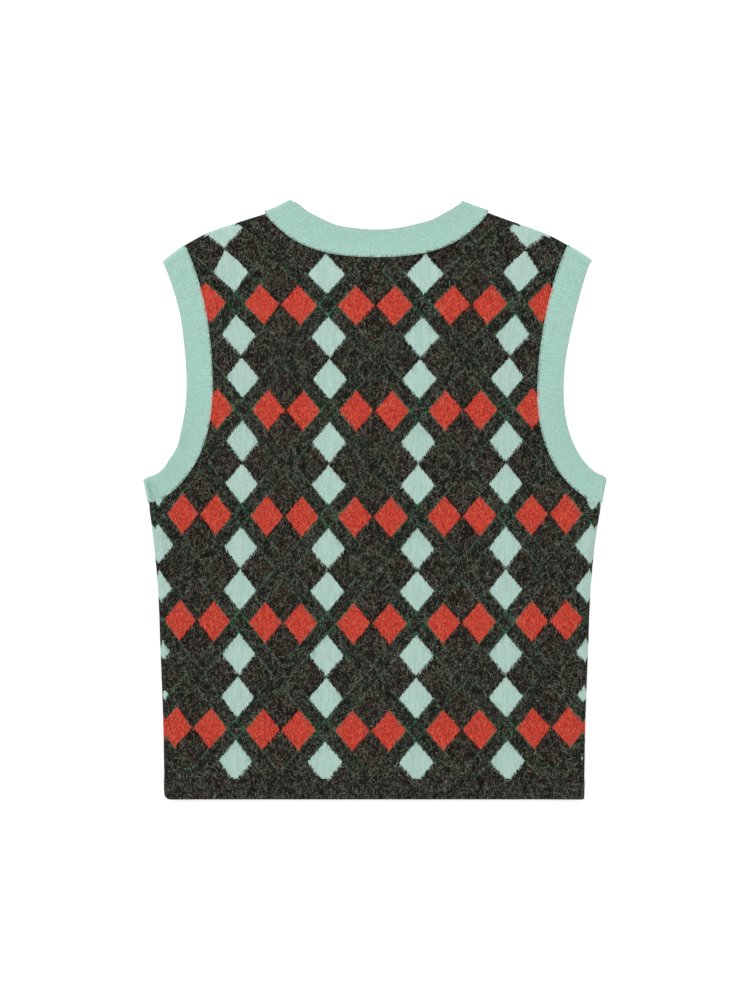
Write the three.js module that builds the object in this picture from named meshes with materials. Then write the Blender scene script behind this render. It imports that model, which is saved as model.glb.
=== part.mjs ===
// A knitted sweater vest laid flat with its back up. Millimetres: +Z is up from the surface it lies on,
// +Y runs from the hem to the neck, and +X is the right of the back as it is seen from above. The pieces
// are worked out with the hem edge at Y 0, and the whole is then moved so that the origin is under its middle.
import * as THREE from "three";

// Heights are measured up from the hem edge, and widths out from the centre of the back.
const HIGH_POINT = 583; // top of the shoulder, at the neck
const SHOULDER_TIP = { half: 209.5, up: 525.5 };
const SHOULDER_SEAM_FROM = 108.2; // where the neck band meets the shoulder fold
const SHOULDER_SEAM_TO = 187.5; // where the armhole band meets it
const NECK_HALF = 84.3; // half the width of the neck
const BACK_NECK = { seam: 529.3, edge: 555.7 };
const FRONT_NECK_DROP = 175; // high point to the point of the front neckline
const NECK_BAND_WIDTH = 26;
const UNDERARM = { seam: 290.6, edge: 314.7 };
const UNDERARM_DROP = 3.2; // how far the band's free edge dips where it turns over
const ARMHOLE_MIDDLE = { up: 398, seam: 158.8, edge: 183.8 };
const HEM_DEPTH = 20;

// The cloth, and how its two layers lie on each other.
const PANEL_THICK = 2.6;
const BAND_THICK = 3;
const BAND_PROUD = 0.4; // how far a band stands above the panel beside it
const FOLD_RADIUS = 4.6; // outside of the turn from back to front
const BACK_TOP = 6.6; // top of the back, away from the folds
const SWELL_REACH = 45; // how far in from a fold the back stands higher
const SEAM_TURN = 1.6; // how far back of the turn's start a side or shoulder seam lies
const SEAM_GAP = 0.3;
const TURN_GAP = 0.5; // gap at a seam that lies in a turn, where it narrows
const LEAN = 2; // how far the shoulders lie to the right of the hem
const LEAN_FROM = 300;
const LEAN_TO = 540;

// The outermost edge of the side fold. Above the underarm nothing is folded, and the line leaves the garment.
const SIDE_EDGE = [
  { up: -20, half: 204.6 },
  { up: 0, half: 204.8 },
  { up: 77, half: 206.2 },
  { up: 155, half: 209.1 },
  { up: 204, half: 211.1 },
  { up: 243, half: 214.5 },
  { up: 282, half: 219.4 },
  { up: 311.5, half: 225.2 },
  { up: 318, half: 227 },
  { up: 430, half: 300 },
];

// Low swells in the upper layer, where it isn't quite smoothed down.
const SWELLS = [
  { x: -104, up: 118, long: 120, wide: 34, turn: 1.2, high: 1 },
  { x: 62, up: 196, long: 150, wide: 42, turn: 1.75, high: 1.1 },
  { x: -28, up: 338, long: 110, wide: 38, turn: 0.5, high: 0.9 },
  { x: 118, up: 372, long: 90, wide: 30, turn: 2.2, high: 0.8 },
  { x: -112, up: 452, long: 80, wide: 28, turn: 1.9, high: 0.8 },
];

// A band's section: across from its seam to its free edge, and depth from its outer face.
const BAND_SECTION = [
  { across: 0, depth: 0.12 },
  { across: 0.05, depth: 0 },
  { across: 0.5, depth: 0 },
  { across: 0.93, depth: 0.06 },
  { across: 1, depth: 0.5 },
  { across: 0.93, depth: 1 },
  { across: 0.5, depth: 1 },
  { across: 0, depth: 1 },
];

// How finely each stretch is divided.
const STEPS = { side: 9, armhole: 8, turn: 6, neck: 8, hem: 10 };
const PANEL_TURN_STEPS = { back: 1, front: 5 };
const SHOULDER_SHARES = [0.25, 0.5, 0.75, 0.88, 0.92, 0.96, 1];
const NECK_SHARE = 0.55; // part of a panel's half width that ends at the neck

const { clamp, lerp } = THREE.MathUtils;
const point = (x, y) => new THREE.Vector2(x, y);
const middle = (a, b, t) => a.clone().lerp(b, t);

function smooth(t) {
  const c = clamp(t, 0, 1);
  return c * c * (3 - 2 * c);
}

const upTo = (count) => Array.from({ length: count + 1 }, (_, k) => k / count);

const cubic = (...ends) => new THREE.CubicBezierCurve(...ends.map(([x, y]) => point(x, y)));

// Reads the side table as a smooth curve: a cubic in each interval, with slopes from the rows on either side.
function sideEdge(up) {
  const last = SIDE_EDGE.length - 1;
  const above = SIDE_EDGE.findIndex((row) => row.up > up);
  const i = above < 0 ? last - 1 : Math.max(above - 1, 0);
  const slope = (k) => {
    const a = SIDE_EDGE[Math.max(k - 1, 0)];
    const b = SIDE_EDGE[Math.min(k + 1, last)];
    return (b.half - a.half) / (b.up - a.up);
  };
  const [a, b] = [SIDE_EDGE[i], SIDE_EDGE[i + 1]];
  const span = b.up - a.up;
  const t = clamp((up - a.up) / span, 0, 1);
  const rise = smooth(t);
  const bow = t * (1 - t) * span * ((1 - t) * slope(i) - t * slope(i + 1));
  return lerp(a.half, b.half, rise) + bow;
}

// The outermost edge of the right shoulder fold, from the neck to the shoulder tip.
const SHOULDER = cubic(
  [NECK_HALF, HIGH_POINT],
  [125, 566],
  [175, 556],
  [SHOULDER_TIP.half, SHOULDER_TIP.up],
);

// The shoulder edge above a distance out from the centre, and the direction out across the fold.
function shoulderAt(half) {
  let [low, high] = [0, 1];
  for (let k = 0; k < 30; k++) {
    const t = (low + high) / 2;
    if (SHOULDER.getPoint(t).x < half) {
      low = t;
    } else {
      high = t;
    }
  }
  const on = SHOULDER.getPoint(low);
  const along = SHOULDER.getTangent(low);
  const up = on.y + ((half - on.x) * along.y) / along.x;
  return { up, out: point(-along.y, along.x) };
}

// How far a flat point lies past the line where the cloth starts to turn over, at the nearer fold.
function foldNear(half, up) {
  const side = { past: half - sideEdge(up) + FOLD_RADIUS, out: point(1, 0) };
  const { up: edge, out } = shoulderAt(half);
  const shoulder = { past: (up - edge) * out.y + FOLD_RADIUS, out };
  return side.past > shoulder.past ? side : shoulder;
}

function swellAt(x, up) {
  return SWELLS.reduce((sum, row) => {
    const [dx, dy] = [x - row.x, up - row.up];
    const u = (dx * Math.cos(row.turn) + dy * Math.sin(row.turn)) / row.long;
    const v = (dy * Math.cos(row.turn) - dx * Math.sin(row.turn)) / row.wide;
    return sum + row.high * Math.exp(-2 * (u * u + v * v));
  }, 0);
}

// Takes a point of the flat cloth to where it lies. The flat cloth runs straight on past a fold,
// and depth goes into the cloth from the garment's outer face.
function lay(flat, layer, proud, depth) {
  const half = Math.abs(flat.x);
  const { past, out } = foldNear(half, flat.y);
  const over = Math.max(past, 0);
  const radius = FOLD_RADIUS + proud / 2;
  const turn = over / FOLD_RADIUS;
  const reach = (radius - depth) * Math.sin(turn) - over;
  const away = smooth(-past / SWELL_REACH);
  const top = lerp(2 * FOLD_RADIUS, BACK_TOP + swellAt(flat.x, flat.y), away) + proud;
  const bent = (radius - depth) * Math.cos(turn);
  const back = past > 0 ? radius + bent : top - depth;
  const front = past > 0 ? radius - bent : depth;
  const moved = past > 0 ? out.clone().multiplyScalar(reach) : point(0, 0);
  const y = flat.y + moved.y;
  const lean = LEAN * smooth((y - LEAN_FROM) / (LEAN_TO - LEAN_FROM));
  const x = (half + moved.x) * Math.sign(flat.x) + lean;
  return new THREE.Vector3(x, y, layer === "back" ? back : front);
}

// The flat point on the shoulder below an edge point, a distance past the line where it starts to turn.
function onShoulder(half, past) {
  const { up, out } = shoulderAt(half);
  return point(half, up).addScaledVector(out, past - FOLD_RADIUS);
}

// Carries a point past that line, square to the fold below the same edge point.
const carried = (start, half, past) => start.clone().addScaledVector(shoulderAt(half).out, past);

// Seams and free edges of the right half, in the flat cloth, each up to where the cloth starts to turn.
const neckSeamEnd = onShoulder(SHOULDER_SEAM_FROM, 0);
const neckEdgeEnd = onShoulder(NECK_HALF, 0);
const tipSeam = onShoulder(SHOULDER_SEAM_TO, 0);
const tipEdge = onShoulder(SHOULDER_TIP.half, 0);
const underarmSeam = point(sideEdge(UNDERARM.seam) - FOLD_RADIUS, UNDERARM.seam);
const underarmEdge = point(sideEdge(UNDERARM.edge) - FOLD_RADIUS, UNDERARM.edge);
const seamMiddle = [ARMHOLE_MIDDLE.seam, ARMHOLE_MIDDLE.up];
const edgeMiddle = [ARMHOLE_MIDDLE.edge, ARMHOLE_MIDDLE.up + 3];
const ARMHOLE = {
  seam: [
    cubic(underarmSeam.toArray(), [196, 295], [158.8, 330], seamMiddle),
    cubic(seamMiddle, [158.8, 450], [170, 502], tipSeam.toArray()),
  ],
  edge: [
    cubic(underarmEdge.toArray(), [203, 324], [183.8, 352], edgeMiddle),
    cubic(edgeMiddle, [183.8, 442], [194, 490], tipEdge.toArray()),
  ],
};

// The back neckline is a scoop. The front one is a V whose seam lies a band's width outside its edge.
const frontPoint = point(0, HIGH_POINT - FRONT_NECK_DROP);
const slant = neckEdgeEnd.clone().sub(frontPoint);
const mitre = (NECK_BAND_WIDTH * slant.length()) / slant.x;
const NECK = {
  back: {
    seam: cubic([0, BACK_NECK.seam], [45, BACK_NECK.seam], [80, 537], neckSeamEnd.toArray()),
    edge: cubic([0, BACK_NECK.edge], [38, BACK_NECK.edge], [58, 570], neckEdgeEnd.toArray()),
  },
  front: {
    seam: new THREE.LineCurve(point(0, frontPoint.y - mitre), neckSeamEnd),
    edge: new THREE.LineCurve(frontPoint, neckEdgeEnd),
  },
};

// A point of a seam moved square to it. At the centre line it stays on that line.
function beside(curve, t, distance) {
  const along = curve.getTangentAt(t);
  const on = curve.getPointAt(t);
  if (on.x === 0) {
    return point(0, on.y + distance / along.x);
  }
  return on.addScaledVector(point(-along.y, along.x), distance);
}

// A geometry of shared points, with its faces turned outwards.
function solid(points, faces) {
  let volume = 0;
  for (let k = 0; k < faces.length; k += 3) {
    const [a, b, c] = [0, 1, 2].map((n) => points[faces[k + n]]);
    volume += a.dot(b.clone().cross(c));
  }
  const geometry = new THREE.BufferGeometry().setFromPoints(points);
  geometry.setIndex(volume < 0 ? faces.reverse() : faces);
  geometry.computeVertexNormals();
  return geometry;
}

const square = (a, b, c, d) => [a, b, c, a, c, d];

// A closed wall from rows of flat points: its outer face, its inner face and the rim between them.
function wall(rows, layer, thick) {
  const flat = rows.flat();
  const points = [0, thick].flatMap((depth) => flat.map((p) => lay(p, layer, 0, depth)));
  const wide = rows[0].length;
  const at = (row, column) => row * wide + column;
  const inner = (k) => k + flat.length;
  const faces = [];
  for (let r = 0; r + 1 < rows.length; r++) {
    for (let c = 0; c + 1 < wide; c++) {
      const cell = [at(r, c), at(r, c + 1), at(r + 1, c + 1), at(r + 1, c)];
      faces.push(...square(...cell));
      faces.push(...square(...cell.map(inner).reverse()));
    }
  }
  const across = rows[0].map((_, c) => c);
  const upwards = rows.map((_, r) => r);
  const [right, top] = [wide - 1, rows.length - 1];
  const rim = [
    ...across.slice(0, -1).map((c) => at(0, c)),
    ...upwards.slice(0, -1).map((r) => at(r, right)),
    ...across.slice(1).reverse().map((c) => at(top, c)),
    ...upwards.slice(1).reverse().map((r) => at(r, 0)),
  ];
  rim.forEach((a, k) => {
    const b = rim[(k + 1) % rim.length];
    faces.push(...square(b, a, inner(a), inner(b)));
  });
  return solid(points, faces);
}

// A band's section carried round a closed line of stations, each with a seam point and an edge point.
function bandRing(stations) {
  const points = stations.flatMap(({ seam, edge, layer }) =>
    BAND_SECTION.map(({ across, depth }) =>
      lay(middle(seam, edge, across), layer, BAND_PROUD, depth * BAND_THICK),
    ),
  );
  const count = BAND_SECTION.length;
  const faces = stations.flatMap((_, s) =>
    BAND_SECTION.flatMap((_row, k) => {
      const next = (s + 1) % stations.length;
      const k2 = (k + 1) % count;
      return square(s * count + k, s * count + k2, next * count + k2, next * count + k);
    }),
  );
  return solid(points, faces);
}

const mirrored = (p) => point(-p.x, p.y);
const mirroredStation = ({ seam, edge, layer }) => ({
  seam: mirrored(seam),
  edge: mirrored(edge),
  layer,
});

// Distances past the turn's start for a band that goes right round it, ends left out.
const roundTurn = upTo(STEPS.turn)
  .slice(1, -1)
  .map((t) => t * Math.PI * FOLD_RADIUS);

// The right edge of a panel: side seam, under the band's turn, armhole seam, and over the shoulder.
function panelSide(layer, past) {
  const inset = SEAM_GAP / 2;
  const foot = HEM_DEPTH + inset;
  const top = UNDERARM.seam - inset;
  const side = upTo(STEPS.side).map((t) => {
    const up = lerp(foot, top, t);
    return point(sideEdge(up) - FOLD_RADIUS + past, up);
  });
  const turn = upTo(PANEL_TURN_STEPS[layer]).slice(1);
  const under = turn.map((t) => point(underarmSeam.x + past * (1 - t), top));
  const armhole = ARMHOLE.seam.flatMap((curve) =>
    upTo(STEPS.armhole).slice(1).map((t) => beside(curve, t, inset)),
  );
  const start = beside(ARMHOLE.seam[1], 1, TURN_GAP);
  const over = turn.map((t) => carried(start, SHOULDER_SEAM_TO, t * past));
  return [...side, ...under, ...armhole, ...over];
}

// The top edge of a panel's right half, by share of its width: neckline, over the shoulder, shoulder seam.
function panelTop(layer, past, corner) {
  const neck = upTo(STEPS.neck).map((t) => beside(NECK[layer].seam, t, -SEAM_GAP / 2));
  const start = neck[neck.length - 1];
  const turn = upTo(PANEL_TURN_STEPS[layer])
    .slice(1)
    .map((t) => carried(start, SHOULDER_SEAM_FROM, t * past));
  const shoulder = SHOULDER_SHARES.slice(0, -1).map((t) =>
    onShoulder(lerp(SHOULDER_SEAM_FROM, SHOULDER_SEAM_TO, t), past),
  );
  const inNeck = upTo(neck.length + turn.length - 1).map((t) => t * NECK_SHARE);
  const inShoulder = SHOULDER_SHARES.map((t) => lerp(NECK_SHARE, 1, t));
  return {
    points: [...neck, ...turn, ...shoulder, corner],
    shares: [...inNeck, ...inShoulder],
  };
}

// A panel's flat points in rows from the hem seam to the neck and shoulders. A row runs evenly from the
// centre to the side, and takes on the shape of the top edge as it comes near it.
function panelRows(layer) {
  const turned = layer === "back" ? SEAM_TURN : Math.PI * FOLD_RADIUS - SEAM_TURN;
  const past = turned - TURN_GAP / 2;
  const side = panelSide(layer, past);
  const [foot, corner] = [side[0], side[side.length - 1]];
  const { points: top, shares } = panelTop(layer, past, corner);
  const lengths = side.map((p, k) => (k ? p.distanceTo(side[k - 1]) : 0));
  const whole = lengths.reduce((sum, length) => sum + length, 0);
  let done = 0;
  return side.map((edge, k) => {
    done += lengths[k];
    const v = done / whole;
    const centre = point(0, lerp(foot.y, top[0].y, v));
    const half = shares.map((share, c) => {
      const shape = top[c].clone().sub(middle(top[0], corner, share));
      return middle(centre, edge, share).addScaledVector(shape, v ** 5);
    });
    return [...half.slice(1).reverse().map(mirrored), ...half];
  });
}

const panel = (layer) => wall(panelRows(layer), layer, PANEL_THICK);

function neckBand() {
  const line = (layer) =>
    upTo(STEPS.neck).map((t) => ({
      seam: beside(NECK[layer].seam, t, SEAM_GAP / 2),
      edge: NECK[layer].edge.getPointAt(t),
      layer,
    }));
  const back = line("back");
  const seamEnd = back[back.length - 1].seam;
  const turn = roundTurn.map((over) => ({
    seam: carried(seamEnd, SHOULDER_SEAM_FROM, over),
    edge: carried(neckEdgeEnd, NECK_HALF, over),
    layer: "back",
  }));
  const right = [...back, ...turn, ...line("front").reverse()];
  const left = right.slice(1, -1).reverse().map(mirroredStation);
  return bandRing([...right, ...left]);
}

function armholeBand(side) {
  const shares = upTo(STEPS.armhole);
  const along = (curves, distance) =>
    curves.flatMap((curve, n) => shares.slice(n).map((t) => beside(curve, t, distance)));
  const seams = along(ARMHOLE.seam, -SEAM_GAP / 2);
  const edges = along(ARMHOLE.edge, 0);
  const line = (layer) => seams.map((seam, k) => ({ seam, edge: edges[k], layer }));
  const shoulderTurn = roundTurn.map((over) => ({
    seam: carried(seams[seams.length - 1], SHOULDER_SEAM_TO, over),
    edge: carried(tipEdge, SHOULDER_TIP.half, over),
    layer: "back",
  }));
  const underTurn = [...roundTurn].reverse().map((over) => {
    const drop = UNDERARM_DROP * Math.sin(over / FOLD_RADIUS);
    return {
      seam: point(seams[0].x + over, seams[0].y),
      edge: point(underarmEdge.x + over, UNDERARM.edge - drop),
      layer: "back",
    };
  });
  const stations = [...line("back"), ...shoulderTurn, ...line("front").reverse(), ...underTurn];
  return bandRing(side > 0 ? stations : stations.map(mirroredStation));
}

function hemBand() {
  const top = HEM_DEPTH - SEAM_GAP / 2;
  const at = (share, over, layer) => ({
    seam: point(share * (sideEdge(top) - FOLD_RADIUS) + over, top),
    edge: point(share * (sideEdge(0) - FOLD_RADIUS) + over, 0),
    layer,
  });
  const line = (layer) => upTo(STEPS.hem).map((share) => at(share, 0, layer));
  const turn = roundTurn.map((over) => at(1, over, "back"));
  const right = [...line("back"), ...turn, ...line("front").reverse()];
  const left = right.slice(1, -1).reverse().map(mirroredStation);
  return bandRing([...right, ...left]);
}

function node(name, geometry, color, roughness) {
  const mesh = new THREE.Mesh(geometry, new THREE.MeshStandardMaterial({ color, roughness }));
  mesh.name = name;
  return mesh;
}

const MINT = 0xa3d0bf;
const DARK = 0x2f2a26;
const vest = new THREE.Group();
vest.name = "sweater_vest";
vest.add(
  node("back_panel", panel("back"), DARK, 0.95),
  node("front_panel", panel("front"), DARK, 0.95),
  node("neck_band", neckBand(), MINT, 0.9),
  node("armhole_band_left", armholeBand(-1), MINT, 0.9),
  node("armhole_band_right", armholeBand(1), MINT, 0.9),
  node("hem_band", hemBand(), DARK, 0.95),
);

const box = new THREE.Box3().setFromObject(vest, true);
const centre = box.getCenter(new THREE.Vector3());
vest.position.set(-centre.x, -centre.y, 0);
export default vest;
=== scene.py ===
import math

import bpy
import numpy as np
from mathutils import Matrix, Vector


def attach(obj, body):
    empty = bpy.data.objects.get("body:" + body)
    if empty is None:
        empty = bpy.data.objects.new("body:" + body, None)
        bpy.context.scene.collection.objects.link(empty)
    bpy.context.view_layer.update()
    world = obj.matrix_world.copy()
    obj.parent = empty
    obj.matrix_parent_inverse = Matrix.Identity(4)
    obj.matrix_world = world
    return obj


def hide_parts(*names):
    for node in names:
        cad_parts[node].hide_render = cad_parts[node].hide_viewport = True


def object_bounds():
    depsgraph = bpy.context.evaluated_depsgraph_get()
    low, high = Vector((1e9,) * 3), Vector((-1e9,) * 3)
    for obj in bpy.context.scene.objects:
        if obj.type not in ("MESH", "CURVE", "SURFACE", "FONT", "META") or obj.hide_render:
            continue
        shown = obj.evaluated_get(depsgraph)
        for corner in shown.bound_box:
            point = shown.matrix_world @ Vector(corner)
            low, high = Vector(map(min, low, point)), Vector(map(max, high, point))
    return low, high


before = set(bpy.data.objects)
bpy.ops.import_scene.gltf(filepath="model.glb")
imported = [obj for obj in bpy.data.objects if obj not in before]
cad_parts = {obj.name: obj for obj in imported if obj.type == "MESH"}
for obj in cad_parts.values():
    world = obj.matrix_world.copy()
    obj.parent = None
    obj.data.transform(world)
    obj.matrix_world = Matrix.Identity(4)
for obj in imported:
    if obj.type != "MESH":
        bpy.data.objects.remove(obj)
cad_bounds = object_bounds()

# The cloth is worked out in millimetres: x out from the centre of the back, and up from the hem edge.
# These sizes are the part's own.
HIGH_POINT = 583
SHOULDER_TIP = (209.5, 525.5)
SHOULDER_SEAM_FROM = 108.2
SHOULDER_SEAM_TO = 187.5
NECK_HALF = 84.3
BACK_NECK_SEAM = 529.3
BACK_NECK_EDGE = 555.7
FRONT_NECK_DROP = 175
NECK_BAND_WIDTH = 26
UNDERARM_SEAM = 290.6
UNDERARM_EDGE = 314.7
UNDERARM_DROP = 3.2
ARMHOLE_MIDDLE_UP = 398
ARMHOLE_MIDDLE_SEAM = 158.8
ARMHOLE_MIDDLE_EDGE = 183.8
HEM_DEPTH = 20

PANEL_THICK = 2.3
BAND_THICK = 2.9
NAP_ROOM = 0.25
BAND_PROUD = 0.4
FOLD_RADIUS = 4.6
HALF_TURN = math.pi * FOLD_RADIUS
BACK_TOP = 6.6
SWELL_REACH = 45
SEAM_TURN = 1.6
LEAN = 2
LEAN_FROM = 300
LEAN_TO = 540
CORNER_OUT = 204.8
CORNER_ROUND = 6.0
# How far into the upper layer a crease fades out, and how far down from the shoulder it sinks.
CREASE_FADE = 12
SINK_REACH = 55
# No fibre or stitch comes nearer the floor than this, in metres.
FLOOR_ROOM = 0.00002

# The outermost edge of the side fold: (height, distance out). Above the underarm it leaves the garment.
SIDE_EDGE = np.array([
    (-20, 204.6), (0, 204.8), (77, 206.2), (155, 209.1), (204, 211.1),
    (243, 214.5), (282, 219.4), (311.5, 225.2), (318, 227), (430, 300),
])

# Low swells and shallow troughs of the upper layer: x, up, half length, half width, turn, height.
SWELLS = [
    (-104, 118, 120, 34, 1.2, 1.0),
    (62, 196, 150, 42, 1.75, 1.1),
    (-28, 338, 110, 38, 0.5, 0.9),
    (118, 372, 90, 30, 2.2, 0.8),
    (-112, 452, 80, 28, 1.9, 0.8),
]

# Creases pressed in as it lies: x, up, half length, half width, turn, depth.
# A negative depth is a soft ridge.
CREASES = [
    (-152, 262, 46, 6, 0.55, 0.9),
    (-168, 240, 40, 7, 0.35, -0.6),
    (156, 268, 42, 6, 2.55, 0.8),
    (170, 236, 44, 8, 2.75, -0.6),
    (-60, 60, 80, 7, 0.1, 0.6),
    (98, 44, 70, 8, 3.05, 0.55),
    (20, 486, 64, 9, 0.05, 0.6),
    (-128, 505, 40, 8, 2.2, 0.6),
    (134, 498, 44, 8, 0.95, 0.55),
    (-30, 250, 90, 10, 1.45, 0.5),
    (88, 300, 76, 9, 1.75, 0.45),
]

# Where the laid cloth was nudged by hand: x, height, reach, and how far across and up.
NUDGES = [
    (-77.8, 578.1, 9.5, 0.5, 3.2),
    (-95.4, 581.8, 6.6, -0.7, -0.3),
    (-74.6, 578.1, 12.3, 0.2, 1.2),
    (-79, 584, 3.5, 0.3, 0.2),
    (-84, 586, 2.5, 0.0, -0.4),
    (85.4, 577.9, 8.3, -1.1, 1.6),
    (107.8, 574.7, 15.7, 0.5, 0.8),
    (-38, 560, 13, 0.0, -1.3),
    (56, 568, 14, 0.0, -1.7),
    (-211, 321, 13, 3.0, -1.4),
    (-225, 312, 8, -0.8, 0.6),
    (225, 312, 8, 0.2, 1.8),
    (-205, 534, 20, 0.0, -2.0),
    (-178, 546, 16, 0.0, -0.6),
    (190, 545, 24, 0.0, -1.1),
    (217, 529, 14, 0.9, 0.0),
    (209, 507, 18, 1.4, 0.0),
    (203, 487, 18, 1.4, 0.0),
    (199, 467, 18, 1.3, 0.0),
    (195, 447, 18, 0.8, 0.0),
    (-188, 476, 26, 1.1, 0.0),
    (-213, 528, 7, 1.6, 0.0),
    (-198, 343, 15, 2.8, 0.0),
    (220, 298, 38, 1.4, 0.0),
]
# The panels' shoulders sink a little between the bands, most beside the neck.
SHOULDER_SINKS = [(-104, 20, 2.4), (-134, 18, 1.3), (108, 20, 2.2), (142, 22, 1.4)]

# The knit: one diamond repeat is a period wide and a period tall, and holds whole stitches.
PERIOD_WIDE = 87
PERIOD_TALL = 103.5
LOWEST_CROSSING = 68.6
# How the knit is drawn out of true as it lies: powers of x and of height, and millimetres.
DRAWN_ACROSS = [
    (0, 0, 0.2), (1, 1, 0.8), (1, 2, -4.1), (1, 3, -1.5), (2, 0, -1.3), (2, 1, 0.9), (3, 0, 1.0), (3, 1, 3.1),
]
DRAWN_UP = [(0, 2, 2.4), (0, 3, 0.5), (2, 0, -3.6), (2, 1, 0.8), (2, 2, 1.3), (2, 3, 0.9)]
WALES = 46
COURSES = 70
RIB_PITCH = 3.2
RIB_HEIGHT = 0.16
STATIONS = 6
# The ribbing is mapped as if it were this deep everywhere.
RIB_WIDE = 25.0


def smooth(t):
    c = np.clip(t, 0, 1)
    return c * c * (3 - 2 * c)


def lerp(a, b, t):
    return a + (b - a) * t


def side_edge(up):
    ups, halves = SIDE_EDGE.T
    slopes = np.empty(len(ups))
    slopes[1:-1] = (halves[2:] - halves[:-2]) / (ups[2:] - ups[:-2])
    slopes[0] = (halves[1] - halves[0]) / (ups[1] - ups[0])
    slopes[-1] = (halves[-1] - halves[-2]) / (ups[-1] - ups[-2])
    i = np.clip(np.searchsorted(ups, up, side="right") - 1, 0, len(ups) - 2)
    span = ups[i + 1] - ups[i]
    t = np.clip((up - ups[i]) / span, 0, 1)
    bow = t * (1 - t) * span * ((1 - t) * slopes[i] - t * slopes[i + 1])
    return lerp(halves[i], halves[i + 1], smooth(t)) + bow


def bezier(ends, t):
    a, b, c, d = (np.array(end, float) for end in ends)
    t = np.asarray(t, float)[:, None]
    return a * (1 - t) ** 3 + 3 * b * t * (1 - t) ** 2 + 3 * c * t * t * (1 - t) + d * t**3


def length_of(line):
    return np.linalg.norm(np.diff(line, axis=0), axis=1).sum()


def unit(v):
    return v / np.linalg.norm(v, axis=-1, keepdims=True)


# The shoulder fold's outermost edge, drawn finely and carried straight on past both ends.
CARRIED_ON = 200
SHOULDER_ENDS = [(NECK_HALF, HIGH_POINT), (125, 566), (175, 556), SHOULDER_TIP]
drawn = bezier(SHOULDER_ENDS, np.linspace(0, 1, 801))
before_it = drawn[:1] + CARRIED_ON * (drawn[:1] - drawn[1:2])
past_it = drawn[-1:] + CARRIED_ON * (drawn[-1:] - drawn[-2:-1])
drawn = np.vstack([before_it, drawn, past_it])
along_shoulder = unit(np.gradient(drawn, axis=0))


def shoulder_at(half):
    """The height of the shoulder edge at a distance out, and the direction out across the fold."""
    up = np.interp(half, drawn[:, 0], drawn[:, 1])
    ax = np.interp(half, drawn[:, 0], along_shoulder[:, 0])
    ay = np.interp(half, drawn[:, 0], along_shoulder[:, 1])
    return up, unit(np.stack([-ay, ax], -1))


def swell_at(x, up):
    total = np.zeros_like(x)
    for sx, sup, long, wide, turn, high in SWELLS:
        dx, dy = x - sx, up - sup
        u = (dx * math.cos(turn) + dy * math.sin(turn)) / long
        v = (dy * math.cos(turn) - dx * math.sin(turn)) / wide
        total += high * np.exp(-2 * (u * u + v * v))
    return total


def crease_at(x, up):
    total = np.zeros_like(x)
    for sx, sup, long, wide, turn, deep in CREASES:
        dx, dy = x - sx, up - sup
        u = dx * math.cos(turn) + dy * math.sin(turn)
        v = dy * math.cos(turn) - dx * math.sin(turn) + 5 * np.sin(u / 21 + sx)
        uneven = 0.75 + 0.25 * np.sin(u / 13 + sup)
        total += deep * uneven * np.exp(-((u / long) ** 2) - (v / wide) ** 2)
    return total


def round_corner(x, y):
    """The left bottom corner is pushed in a little, where the fold meets the hem."""
    size = CORNER_ROUND
    across = np.clip((-x - (CORNER_OUT - size)) / size, 0, 1)
    down = np.clip((size - y) / size, 0, 1)
    in_x = across * (np.sqrt(1 - down**2 / 2) - 1) * size
    in_y = down * (np.sqrt(1 - across**2 / 2) - 1) * size
    return x - in_x, y - in_y


def lay(flat, front, proud, depth, panel=False):
    """Takes points of the flat cloth to where they lie, in metres.
    front says which lie on the lower layer, and depth how far they are under the cloth's skin."""
    half, up = np.abs(flat[..., 0]), flat[..., 1]
    edge, out = shoulder_at(half)
    past_side = half - side_edge(up) + FOLD_RADIUS
    past_shoulder = (up - edge) * out[..., 1] + FOLD_RADIUS
    at_side = past_side > past_shoulder
    past = np.where(at_side, past_side, past_shoulder)
    out = np.where(at_side[..., None], (1.0, 0.0), out)
    over = np.maximum(past, 0)
    radius = FOLD_RADIUS + proud / 2
    turn = over / FOLD_RADIUS
    reach = (radius - depth) * np.sin(turn) - over
    bent = (radius - depth) * np.cos(turn)
    high = lerp(2 * FOLD_RADIUS, BACK_TOP + swell_at(flat[..., 0], up), smooth(-past / SWELL_REACH))
    back = np.where(past > 0, radius + bent, high + proud - depth)
    under = np.where(past > 0, radius - bent, depth)
    moved = out * np.where(past > 0, reach, 0)[..., None]
    y = up + moved[..., 1]
    lean = LEAN * smooth((y - LEAN_FROM) / (LEAN_TO - LEAN_FROM))
    x = (half + moved[..., 0]) * np.sign(flat[..., 0]) + lean
    z = np.where(front, under, back)
    for nx, ny, reach, across, rise in NUDGES:
        share = np.exp(-((x - nx) ** 2 + (y - ny) ** 2) / reach**2)
        x, y = x + across * share, y + rise * share
    if panel:
        near_top = smooth((up - edge + SINK_REACH) / SINK_REACH)
        for nx, reach, sink in SHOULDER_SINKS:
            y = y - sink * near_top * np.exp(-(((x - nx) / reach) ** 2))
        z = np.where(front | (past > 0), z, z - crease_at(x, y) * smooth(-past / CREASE_FADE))
    x, y = round_corner(x, y)
    return np.stack([x, y, z], -1) / 1000 + (0, cad_bounds[0][1], 0)


def on_shoulder(half, past):
    up, out = shoulder_at(np.asarray(half, float))
    return np.stack([np.asarray(half, float), up], -1) + out * (past - FOLD_RADIUS)


def carried(start, half, past):
    return start + shoulder_at(np.asarray(half, float))[1] * past


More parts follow.
